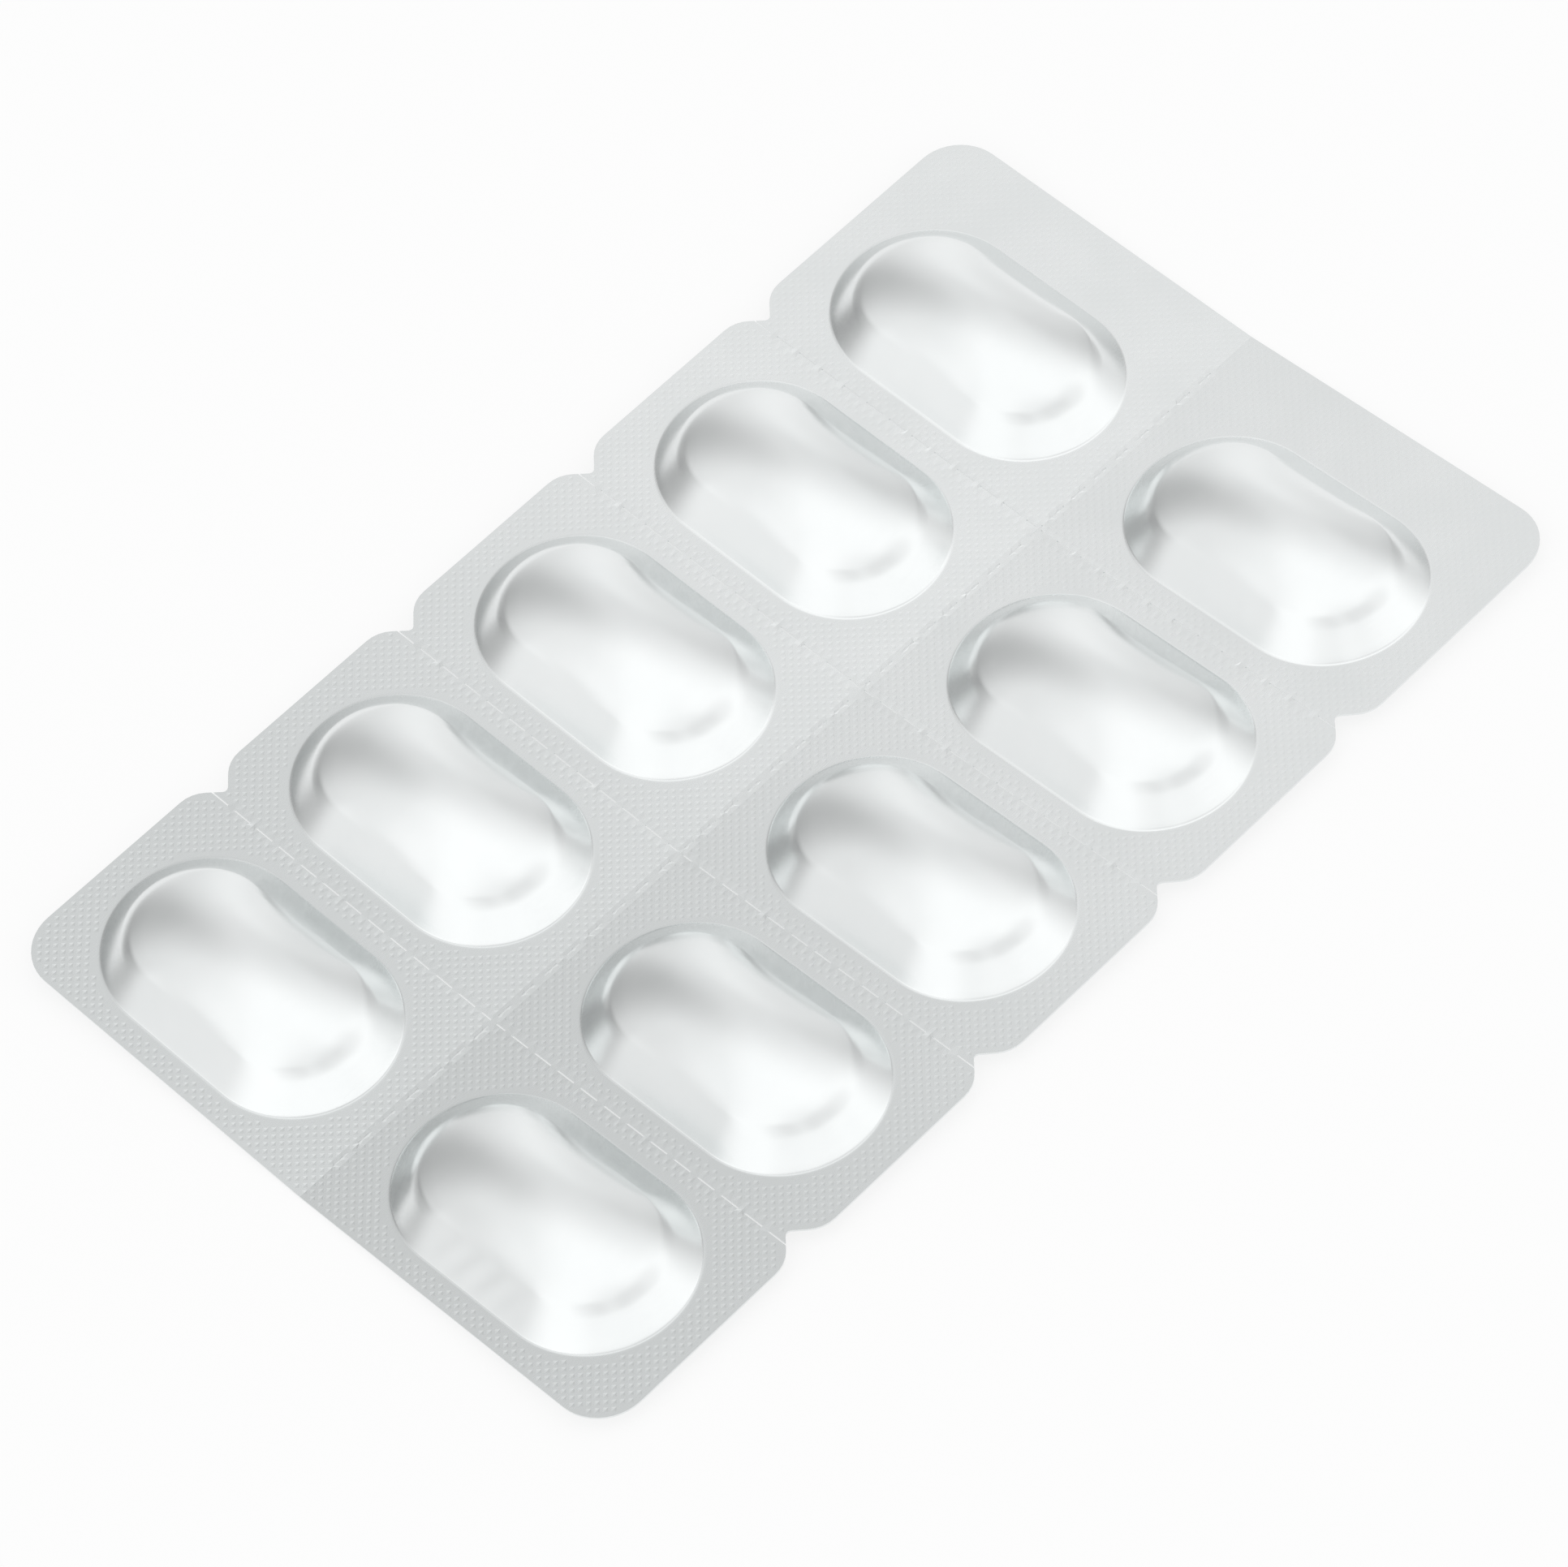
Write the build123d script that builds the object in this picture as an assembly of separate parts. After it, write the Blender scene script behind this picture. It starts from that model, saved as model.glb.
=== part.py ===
"""Pill blister pack: ten sealed pockets in a foil web. Millimetres, +Z up, X along the pack."""
import math
import os

from build123d import *

# Pockets: stadium domes in two columns, each lying across the pack
rows = 5
row_gap = 4.05              # web left between two rows
column_gap = 5.6            # web left between the columns
pocket_width = 16.45        # along the pack, at the web
pocket_length = 27.1        # across the pack, at the web
wall_lean = 43.4            # degrees the wall leans in from upright, all round
shoulder_height = 2.7       # web to the line where wall and crown meet
crown_height = 5.1          # web to the top of the dome
foot_radius = 0.6           # between web and wall
crown_steps = 7             # sections that shape the crown

# Web: the two foils sealed flat around the pockets
web_thickness = 0.2
side_margin = 3.1           # pocket end to the long edge
near_margin = 2.2           # first pocket to the short edge
far_margin = 6.95           # last pocket to the other short edge
corner_radius = 4.1
fold_angle = 2.5            # degrees each half is bent up from the centre line

# Notches in the long edges, one at each line between two rows
notch_depth = 2.1
notch_flank = 46.0          # degrees between flank and edge
notch_root_radius = 0.4
notch_shoulder_radius = 2.8
notch_shift = 0.85          # how far the punched notches sit off the tear lines

# Tear lines: rows of short cuts through the web
cut_width = 0.12
row_cut = 1.87              # on a line between two rows
row_bridge = 0.67
row_first_cut = 1.1         # the short cut next to the centre line
crossing_bridge = 0.5       # uncut length where the lines cross
centre_cut = 1.45           # on the line between the columns
centre_bridge = 1.05
centre_near_margin = 3.7    # short edge to the first cut
centre_far_margin = 4.5     # least length from the last cut to the other short edge

# Sizes that follow
row_pitch = pocket_width + row_gap
column_pitch = pocket_length + column_gap
pack_width = column_pitch + pocket_length + 2 * side_margin
pack_length = (rows - 1) * row_pitch + pocket_width + near_margin + far_margin
near_edge = -pack_length / 2
first_row = near_edge + near_margin + pocket_width / 2
row_places = [first_row + row * row_pitch for row in range(rows)]
tear_places = [place + row_pitch / 2 for place in row_places[:-1]]
notch_root = pack_width / 2 - notch_depth
wall_run = shoulder_height * math.tan(math.radians(wall_lean))
close = 0.001               # reach when an edge or a face is picked by its place


def web_outline():
    """Flat outline of the whole pack: a rounded rectangle with notched long edges."""
    half_length = pack_length / 2
    half_width = pack_width / 2
    mouth = notch_depth / math.tan(math.radians(notch_flank))
    edge = [(-half_length, half_width)]
    for place in tear_places:
        notch = place + notch_shift
        edge += [(notch - mouth, half_width), (notch, notch_root), (notch + mouth, half_width)]
    edge.append((half_length, half_width))
    other_edge = [(x, -y) for x, y in reversed(edge)]
    outline = make_face(Polyline(*edge, *other_edge, close=True))
    corners = outline.vertices().filter_by(lambda v: abs(v.X) > half_length - close)
    outline = fillet(corners, corner_radius)
    roots = outline.vertices().filter_by(lambda v: abs(abs(v.Y) - notch_root) < close)
    outline = fillet(roots, notch_root_radius)
    mouths = outline.vertices().filter_by(lambda v: abs(v.Y) > half_width - close)
    mouths = mouths.filter_by(lambda v: abs(v.X) < half_length - corner_radius - close)
    return fillet(mouths, notch_shoulder_radius)


def stadium(half_length, half_width, height):
    """Flat stadium that lies along Y at a height."""
    return Pos(0, 0, height) * SlotOverall(2 * half_length, 2 * half_width, rotation=90)


def pocket():
    """One pocket standing on Z = 0: a leaning wall all round under a crown that is an arc both ways."""
    rise = crown_height - shoulder_height
    half_length = pocket_length / 2 - wall_run
    half_width = pocket_width / 2 - wall_run
    long_radius = (half_length**2 + rise**2) / (2 * rise)
    cross_radius = (half_width**2 + rise**2) / (2 * rise)
    shoulder = stadium(half_length, half_width, shoulder_height)
    wall = loft([stadium(pocket_length / 2, pocket_width / 2, 0), shoulder], ruled=True)
    sections = [shoulder]
    for step in range(crown_steps - 1, 0, -1):
        drop = rise * (step / crown_steps) ** 2
        along = math.sqrt(2 * long_radius * drop - drop**2)
        across = math.sqrt(2 * cross_radius * drop - drop**2)
        sections.append(stadium(along, across, crown_height - drop))
    sections.append(Vertex(0, 0, crown_height))
    return wall + loft(sections)


def half_pack():
    """The half at +Y laid flat: web, pockets on it and the rounded foot of each pocket."""
    half_sheet = Rectangle(pack_length, pack_width / 2, align=(Align.CENTER, Align.MIN))
    half = extrude(web_outline() & half_sheet, web_thickness)
    dome = pocket()
    for place in row_places:
        half += Pos(place, column_pitch / 2, web_thickness) * dome
    level_faces = half.faces().filter_by(Axis.Z)
    web_top = level_faces.filter_by_position(Axis.Z, web_thickness - close, web_thickness + close)[0]
    feet = [edge for wire in web_top.inner_wires() for edge in wire.edges()]
    return fillet(feet, foot_radius)


def folded_pack():
    """Both halves bent up from the centre line and joined in one solid."""
    bent = half_pack().rotate(Axis.X, fold_angle)
    bent = split(bent, Plane.XZ, keep=Keep.BOTTOM)
    return bent + mirror(bent, Plane.XZ)


def tear_cuts():
    """Thin upright blocks, one for each cut of the tear lines."""
    block_height = pack_width
    row_cuts = [(crossing_bridge / 2, row_first_cut)]
    start = crossing_bridge / 2 + row_first_cut + row_bridge
    while start + row_cut + row_bridge < notch_root:
        row_cuts.append((start, row_cut))
        start += row_cut + row_bridge
    row_cuts.append((start, pack_width / 2 - start))
    blocks = []
    for place in tear_places:
        for start, length in row_cuts:
            for side in (-1, 1):
                block = Box(cut_width, length, block_height)
                blocks.append(Pos(place, side * (start + length / 2), 0) * block)
    start = near_edge + centre_near_margin
    while start + centre_cut < pack_length / 2 - centre_far_margin:
        blocks.append(Pos(start + centre_cut / 2, 0, 0) * Box(centre_cut, cut_width, block_height))
        start += centre_cut + centre_bridge
    return blocks


pack = folded_pack() - tear_cuts()
os.makedirs("parts", exist_ok=True)
export_step(pack, "parts/blister_pack.step")
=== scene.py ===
"""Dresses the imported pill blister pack: two sealed foils, domed pockets, seal dimples and tear cuts."""

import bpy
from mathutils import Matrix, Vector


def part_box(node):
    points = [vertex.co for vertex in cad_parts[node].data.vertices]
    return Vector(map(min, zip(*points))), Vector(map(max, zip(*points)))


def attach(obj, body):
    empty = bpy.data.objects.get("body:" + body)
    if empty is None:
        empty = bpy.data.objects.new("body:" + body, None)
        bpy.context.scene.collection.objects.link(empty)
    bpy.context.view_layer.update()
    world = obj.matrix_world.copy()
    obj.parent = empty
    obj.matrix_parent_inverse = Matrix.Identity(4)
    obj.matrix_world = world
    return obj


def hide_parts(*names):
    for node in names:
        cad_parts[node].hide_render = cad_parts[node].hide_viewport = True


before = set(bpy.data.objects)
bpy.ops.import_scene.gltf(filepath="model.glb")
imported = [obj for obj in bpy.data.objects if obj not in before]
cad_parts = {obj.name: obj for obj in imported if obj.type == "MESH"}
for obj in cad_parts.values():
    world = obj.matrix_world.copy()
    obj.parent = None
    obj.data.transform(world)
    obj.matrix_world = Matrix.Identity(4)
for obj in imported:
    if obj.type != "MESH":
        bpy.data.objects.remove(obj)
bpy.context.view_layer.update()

import math

import bpy
import numpy as np
from bpy.props import FloatProperty, FloatVectorProperty, IntProperty, PointerProperty
from mathutils import Matrix, Vector
from mathutils.geometry import delaunay_2d_cdt

bl_info = {
    "name": "Blister pack",
    "version": (1, 0, 0),
    "blender": (4, 5, 0),
    "location": "View3D > Sidebar > Blister pack",
    "description": "Builds a sealed foil blister pack on its packed solid",
    "category": "Object",
}

MM = 0.001
NODE = "blister_pack"
cad_low, cad_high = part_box(NODE)


def linear(hex_colour):
    """Linear colour from an sRGB hex value."""
    channels = [int(hex_colour[k:k + 2], 16) / 255 for k in (1, 3, 5)]
    return [c / 12.92 if c <= 0.04045 else ((c + 0.055) / 1.055) ** 2.4 for c in channels]


def length(name, description, millimetres):
    """A length to change, kept in metres and written here in millimetres."""
    return FloatProperty(name=name, description=description, default=millimetres * MM, unit="LENGTH",
                         precision=5)


def angle(name, description, degrees):
    """An angle to change, kept in radians and written here in degrees."""
    return FloatProperty(name=name, description=description, default=math.radians(degrees), subtype="ANGLE")


def share(name, description, value):
    """A share of a whole, from 0 to 1."""
    return FloatProperty(name=name, description=description, default=value, min=0, max=1, subtype="FACTOR")


def colour(name, description, hex_colour):
    """A colour to change, written as sRGB hex."""
    return FloatVectorProperty(name=name, description=description, default=linear(hex_colour),
                               subtype="COLOR", min=0, max=1)


class WebSizes(bpy.types.PropertyGroup):
    """The flat web of the two sealed foils."""
    length: length("Length", "Pack length along X", (cad_high.x - cad_low.x) / MM)
    width: length("Width", "Pack width before it is bent", 66.0)
    thickness: length("Thickness", "Both foils together", 0.2)
    corner_radius: length("Corner radius", "Rounding of the four corners", 4.1)
    fold_angle: angle("Bend", "How far each half is bent up from the centre line", 2.5)
    notch_depth: length("Notch depth", "Depth of the V notches in the long edges", 2.1)
    notch_flank: angle("Notch flank", "Angle between a notch flank and the edge", 46.0)
    notch_root_radius: length("Notch root radius", "Rounding at the bottom of a notch", 0.4)
    notch_shoulder_radius: length("Notch shoulder radius", "Rounding where a notch meets the edge", 2.8)
    notch_shift: length("Notch shift", "How far the notches sit off the tear lines", 0.85)


class PocketSizes(bpy.types.PropertyGroup):
    """The drawn pockets, which lie across the pack."""
    rows: IntProperty(name="Rows", description="Pockets along the pack", default=5, min=1)
    columns: IntProperty(name="Columns", description="Pockets across the pack", default=2, min=1)
    row_pitch: length("Row pitch", "From one row to the next", 20.5)
    column_pitch: length("Column pitch", "From one column to the next", 32.7)
    near_margin: length("Near margin", "From the first pocket to the short edge", 2.2)
    width: length("Width", "Along the pack, at the web", 16.45)
    length: length("Length", "Across the pack, at the web", 27.1)
    wall_lean: angle("Wall lean", "How far the wall leans in from upright, all round", 43.4)
    crown_height: length("Crown height", "Top of the dome above the web", 5.1)
    side_shoulder: length("Side shoulder", "Height at which wall and crown meet, at the long sides", 3.1)
    side_blend: length("Side blend", "Height over which wall and crown run together there", 0.2)
    end_shoulder: length("End shoulder", "Height at which wall and crown meet, at the round ends", 2.7)
    end_blend: length("End blend", "Height over which wall and crown run together there", 0.75)
    foot_blend: length("Foot blend", "Height over which web and wall run together", 0.15)
    foot_rim: length("Foot rim", "Level band round the foot", 0.15)


class TearSizes(bpy.types.PropertyGroup):
    """The rows of short cuts that let a pocket be torn off."""
    cut_width: length("Cut width", "Width of every cut", 0.12)
    row_cut: length("Row cut", "Length of a cut between two rows", 1.87)
    row_bridge: length("Row bridge", "Foil left between two of those cuts", 0.67)
    row_first_cut: length("First row cut", "The short cut next to the centre line", 1.1)
    crossing_bridge: length("Crossing bridge", "Foil left where the lines cross", 0.5)
    centre_cut: length("Centre cut", "Length of a cut on the centre line", 1.45)
    centre_bridge: length("Centre bridge", "Foil left between two of those cuts", 1.05)
    centre_near_margin: length("Near end", "From the short edge to the first centre cut", 3.7)
    centre_far_margin: length("Far end", "Least length past the last centre cut", 4.5)
    lip: length("Lip", "How far the knife raised the edges of a cut", 0.025)


class SealSizes(bpy.types.PropertyGroup):
    """The dimples that the heated sealing plate pressed into the web."""
    pitch: length("Pitch", "From one dimple to the next", 0.628)
    turn: angle("Turn", "Angle of the dimple rows to the pack", 45.0)
    dimple: share("Dimple", "Width of a dimple as a share of the pitch, on the forming foil", 0.62)
    lid_dimple: share("Lid dimple", "The same on the lidding foil", 1.0)
    depth: length("Depth", "Depth of a dimple at the near end", 0.024)
    far_depth: length("Far depth", "Depth of a dimple at the far end", 0.006)
    clear: length("Clear band", "Least length from a dimple to an edge", 0.07)


class WearSizes(bpy.types.PropertyGroup):
    """The waves that handling left in the near wall of one pocket of the first row."""
    wave_depth: length("Wave depth", "How deep a wave is pressed into the wall", 0.06)
    wave_pitch: length("Wave pitch", "From one wave to the next along the wall", 2.5)
    wave_slant: FloatProperty(name="Wave slant", description="Shift of a wave along the wall for its height",
                              default=0.9)


class FoilFinish(bpy.types.PropertyGroup):
    """Colour and gloss of the foils."""
    bright: colour("Foil", "Bare aluminium where it is bright", "#F0F2F2")
    dull: colour("Dull foil", "Bare aluminium where it is dull", "#E7EAEA")
    # Painted shade: the foil under the sealing plate takes this darker colour towards the near end of the
    # pack
    pressed: colour("Pressed foil", "Foil dulled by the sealing plate, where it pressed hardest", "#D9DCDC")
    roughness: share("Roughness", "Satin gloss of the forming foil", 0.22)
    lid_roughness: share("Lid roughness", "Gloss of the lidding foil", 0.3)
    pebble: length("Pebble", "Size of the soft pebbles of the forming foil", 2.5)
    pebble_depth: length("Pebble depth", "Their depth", 0.004)
    lid_pebble: length("Lid pebble", "Size of the soft pebbles of the lidding foil", 4.0)
    lid_pebble_depth: length("Lid pebble depth", "Their depth", 0.006)


class StudioSetup(bpy.types.PropertyGroup):
    """Floor, light and camera."""
    floor_size: FloatProperty(name="Floor", description="Side of the floor", default=6.0, unit="LENGTH")
    floor: colour("Floor colour", "Pale plain floor", "#F6F6F6")
    floor_white: share("Floor white", "How far the floor is plain white to the eye and in reflections", 0.75)
    camera_place: FloatVectorProperty(name="Camera", description="Where the camera stands",
                                      default=(-0.18608518, -0.24346265, 0.42808968), subtype="TRANSLATION")
    camera_aim: FloatVectorProperty(name="Aim", description="What the camera looks at",
                                    default=(-0.00253839, -0.00148845, -0.00004445), subtype="TRANSLATION")
    camera_roll: angle("Roll", "Turn of the camera about its line of sight", 10.4235)
    lens: FloatProperty(name="Lens", description="Focal length in mm", default=153.7994)
    film_width: FloatProperty(name="Film", description="Width of the film in mm", default=36.0)


def add(tree, kind, links=None, **settings):
    """Adds a node. Links are given by socket: a value, another socket, or a node for its first output."""
    node = tree.nodes.new(kind)
    for name, value in settings.items():
        setattr(node, name, value)
    for socket, value in (links or {}).items():
        if isinstance(value, bpy.types.Node):
            value = value.outputs[0]
        if isinstance(value, bpy.types.NodeSocket):
            tree.links.new(value, node.inputs[socket])
        else:
            node.inputs[socket].default_value = value
    return node


def maths(tree, operation, *values):
    """Adds a Math node that works on these values."""
    return add(tree, "ShaderNodeMath", dict(enumerate(values)), operation=operation)


def mix_colours(tree, part, low, high):
    """The mix of two colours. A Mix node has them in sockets 6 and 7, and its result in socket 2."""
    return add(tree, "ShaderNodeMix", {0: part, 6: low, 7: high}, data_type="RGBA").outputs[2]


def new_tree(name, inputs):
    """An empty Geometry Nodes tree with a geometry socket each way and these named inputs."""
    tree = bpy.data.node_groups.new(name, "GeometryNodeTree")
    tree.interface.new_socket("Geometry", in_out="OUTPUT", socket_type="NodeSocketGeometry")
    tree.interface.new_socket("Geometry", in_out="INPUT", socket_type="NodeSocketGeometry")
    for socket, kind in inputs.items():
        tree.interface.new_socket(socket, in_out="INPUT", socket_type="NodeSocket" + kind)
    return tree, add(tree, "NodeGroupInput").outputs


def run_tree(tree, values, mesh=None):
    """The plain mesh that a tree makes from a mesh, with its named inputs set by their identifiers."""
    holder = bpy.data.objects.new(tree.name, mesh or bpy.data.meshes.new(tree.name))
    bpy.context.scene.collection.objects.link(holder)
    modifier = holder.modifiers.new(tree.name, "NODES")
    modifier.node_group = tree
    for item in tree.interface.items_tree:
        if item.name in values:
            modifier[item.identifier] = values[item.name]
    evaluated = holder.evaluated_get(bpy.context.evaluated_depsgraph_get())
    made = bpy.data.meshes.new_from_object(evaluated)
    holder.modifiers.remove(modifier)
    bpy.data.objects.remove(holder)
    return made


def new_object(name, mesh):
    """An object at the origin that holds this mesh."""
    thing = bpy.data.objects.new(name, mesh)
    bpy.context.scene.collection.objects.link(thing)
    return thing


def needed(name):
    """A helper made by an earlier operator."""
    thing = bpy.data.objects.get(name)
    if thing is None:
        raise RuntimeError(f"{name} is missing: run its operator first")
    return thing


def places(mesh):
    """Vertex positions of a mesh as an array."""
    flat = np.empty(len(mesh.vertices) * 3, np.float32)
    mesh.vertices.foreach_get("co", flat)
    return flat.reshape(-1, 3).astype(float)


def row_places(web, pocket):
    """X of the pocket rows."""
    first = -web.length / 2 + pocket.near_margin + pocket.width / 2
    return [first + row * pocket.row_pitch for row in range(pocket.rows)]


def tear_places(web, pocket):
    """X of the tear lines, half way between the rows."""
    return [place + pocket.row_pitch / 2 for place in row_places(web, pocket)[:-1]]


def pocket_centres(web, pocket):
    """Middle of each pocket on the flat web."""
    columns = [(column - (pocket.columns - 1) / 2) * pocket.column_pitch for column in range(pocket.columns)]
    return [(x, y) for x in row_places(web, pocket) for y in columns]


# How finely a pocket is divided
STADIUM_TURNS = 44      # round each end
STADIUM_RUNS = 18       # along each side
FOOT_STEPS = 6          # up the rounded foot
WALL_STEPS = 5          # up the wall
SHOULDER_STEPS = 11     # where wall and crown run together
CROWN_STEPS = 12        # from there to the top
PRESSED_RINGS = 5       # rings at the foot that lie under the sealing plate
ROUNDING_POWER = 1.5    # how soon the crown's outline turns from a stadium to an ellipse


def stadium_ring(half_width, half_length):
    """Points round a stadium that lies along Y, anticlockwise from +X."""
    half_straight = half_length - half_width
    run = np.linspace(-half_straight, half_straight, STADIUM_RUNS + 1)
    turn = np.linspace(0, math.pi, STADIUM_TURNS + 1)[1:-1]
    end = np.full(len(turn), half_straight)
    spine = np.concatenate([run, end, -run, -end])
    still = np.zeros(STADIUM_RUNS + 1)
    bearing = np.concatenate([still, turn, still + math.pi, turn + math.pi])
    return np.column_stack([half_width * np.cos(bearing), spine + half_width * np.sin(bearing)])


def pocket_reach(pocket, half_foot, shoulder, blend, level):
    """How far the pocket reaches from its middle at a level: the leaning wall, then the arc of the crown."""
    lean = math.tan(pocket.wall_lean)
    rise = pocket.crown_height - shoulder
    half_crown = half_foot - shoulder * lean
    radius = (half_crown**2 + rise**2) / (2 * rise)
    drop = pocket.crown_height - level
    reach = half_foot - level * lean if drop > rise else math.sqrt(2 * radius * drop - drop**2)
    # The kink between the two is eased over the blend
    bend = (radius - rise) / half_crown - lean
    return reach - bend * max(blend - abs(level - shoulder), 0) ** 2 / (4 * blend)


def pocket_section(pocket, level):
    """Half width and half length of the pocket at a level."""
    across = pocket_reach(pocket, pocket.width / 2, pocket.side_shoulder, pocket.side_blend, level)
    along = pocket_reach(pocket, pocket.length / 2, pocket.end_shoulder, pocket.end_blend, level)
    return across, along


def foot_section(pocket):
    """Half width and half length at which a pocket joins the web."""
    half_width, half_length = pocket_section(pocket, -pocket.foot_blend)
    return half_width + pocket.foot_rim, half_length + pocket.foot_rim


def pocket_ring(pocket, level):
    """The pocket's outline at a level: a stadium up to the shoulder, then more and more an ellipse."""
    half_width, half_length = pocket_section(pocket, level)
    ring = stadium_ring(half_width, half_length)
    climb = max(level - pocket.end_shoulder, 0) / (pocket.crown_height - pocket.end_shoulder)
    roundness = 1 - (1 - climb) ** ROUNDING_POWER
    oval = np.sign(ring[:, 0]) * half_width * np.sqrt(np.maximum(1 - (ring[:, 1] / half_length) ** 2, 0))
    ring[:, 0] += (oval - ring[:, 0]) * roundness
    return ring


def pocket_levels(pocket):
    """Levels of the rings over the foot: wall, shoulder, then closer and closer towards the top."""
    low = pocket.end_shoulder - pocket.end_blend
    high = pocket.side_shoulder + pocket.side_blend
    wall = [pocket.foot_blend + (low - pocket.foot_blend) * k / WALL_STEPS for k in range(1, WALL_STEPS + 1)]
    shoulder = [low + (high - low) * k / SHOULDER_STEPS for k in range(1, SHOULDER_STEPS + 1)]
    rise = pocket.crown_height - high
    crown = [pocket.crown_height - rise * (1 - k / CROWN_STEPS) ** 2 for k in range(1, CROWN_STEPS)]
    return wall + shoulder + crown


def pocket_shell(pocket):
    """Mesh of one pocket over the web: level rim, rounded foot, leaning wall and round crown."""
    blend = pocket.foot_blend
    rings = [(stadium_ring(*foot_section(pocket)), 0.0)]
    for step in range(FOOT_STEPS + 1):
        level = blend * (2 * step / FOOT_STEPS - 1)
        rings.append((pocket_ring(pocket, level), (level + blend) ** 2 / (4 * blend)))
    rings += [(pocket_ring(pocket, level), level) for level in pocket_levels(pocket)]
    points = [np.column_stack([ring, np.full(len(ring), level)]) for ring, level in rings]
    count = len(points[0])
    faces = []
    for outer in range(0, (len(rings) - 1) * count, count):
        for k in range(count):
            after = (k + 1) % count
            faces.append((outer + k, outer + after, outer + count + after, outer + count + k))
    last = (len(rings) - 1) * count
    top = len(rings) * count
    faces += [(last + k, last + (k + 1) % count, top) for k in range(count)]
    mesh = bpy.data.meshes.new("pocket_shell")
    mesh.from_pydata(np.vstack(points + [[(0, 0, pocket.crown_height)]]).tolist(), [], faces)
    mesh.shade_smooth()
    pressed = np.zeros(len(faces))
    pressed[:PRESSED_RINGS * count] = 1
    mesh.attributes.new("pressed", "FLOAT", "FACE").data.foreach_set("value", pressed)
    return mesh


def tear_tree():
    """Tree for the tear cuts: a cut outline repeated along a line, and the line repeated over the pack."""
    tree, given = new_tree("Tear cuts", {"Cut": "Vector", "First": "Vector", "Step": "Vector", "Cuts": "Int",
                                         "Line step": "Vector", "Lines": "Int", "Foil": "Material"})
    size = add(tree, "ShaderNodeSeparateXYZ", {0: given["Cut"]})
    outline = add(tree, "GeometryNodeCurvePrimitiveQuadrilateral",
                  {"Width": size.outputs["X"], "Height": size.outputs["Y"]})
    outline = add(tree, "GeometryNodeCurveToMesh", {"Curve": outline})
    cuts = add(tree, "GeometryNodeMeshLine", {"Count": given["Cuts"], "Offset": given["Step"]})
    line = add(tree, "GeometryNodeInstanceOnPoints", {"Points": cuts, "Instance": outline})
    lines = add(tree, "GeometryNodeMeshLine", {"Count": given["Lines"], "Start Location": given["First"],
                                               "Offset": given["Line step"]})
    field = add(tree, "GeometryNodeInstanceOnPoints", {"Points": lines, "Instance": line})
    field = add(tree, "GeometryNodeRealizeInstances", {"Geometry": field})
    field = add(tree, "GeometryNodeSetMaterial", {"Geometry": field, "Material": given["Foil"]})
    add(tree, "NodeGroupOutput", {"Geometry": field})
    return tree


def dimple_tree():
    """Tree for the seal dimples: one dimple repeated on a square grid that is turned on the web."""
    tree, given = new_tree("Seal dimples", {"Dimple": "Object", "Size": "Float", "Count": "Int",
                                            "Turn": "Float", "Foil": "Material"})
    grid = add(tree, "GeometryNodeMeshGrid", {"Size X": given["Size"], "Size Y": given["Size"],
                                              "Vertices X": given["Count"], "Vertices Y": given["Count"]})
    dimple = add(tree, "GeometryNodeObjectInfo", {"Object": given["Dimple"]})
    field = add(tree, "GeometryNodeInstanceOnPoints",
                {"Points": grid, "Instance": dimple.outputs["Geometry"]})
    turn = add(tree, "ShaderNodeCombineXYZ", {"Z": given["Turn"]})
    field = add(tree, "GeometryNodeRealizeInstances", {"Geometry": field})
    field = add(tree, "GeometryNodeTransform", {"Geometry": field, "Rotation": turn})
    field = add(tree, "GeometryNodeSetMaterial", {"Geometry": field, "Material": given["Foil"]})
    add(tree, "NodeGroupOutput", {"Geometry": field})
    return tree


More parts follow.
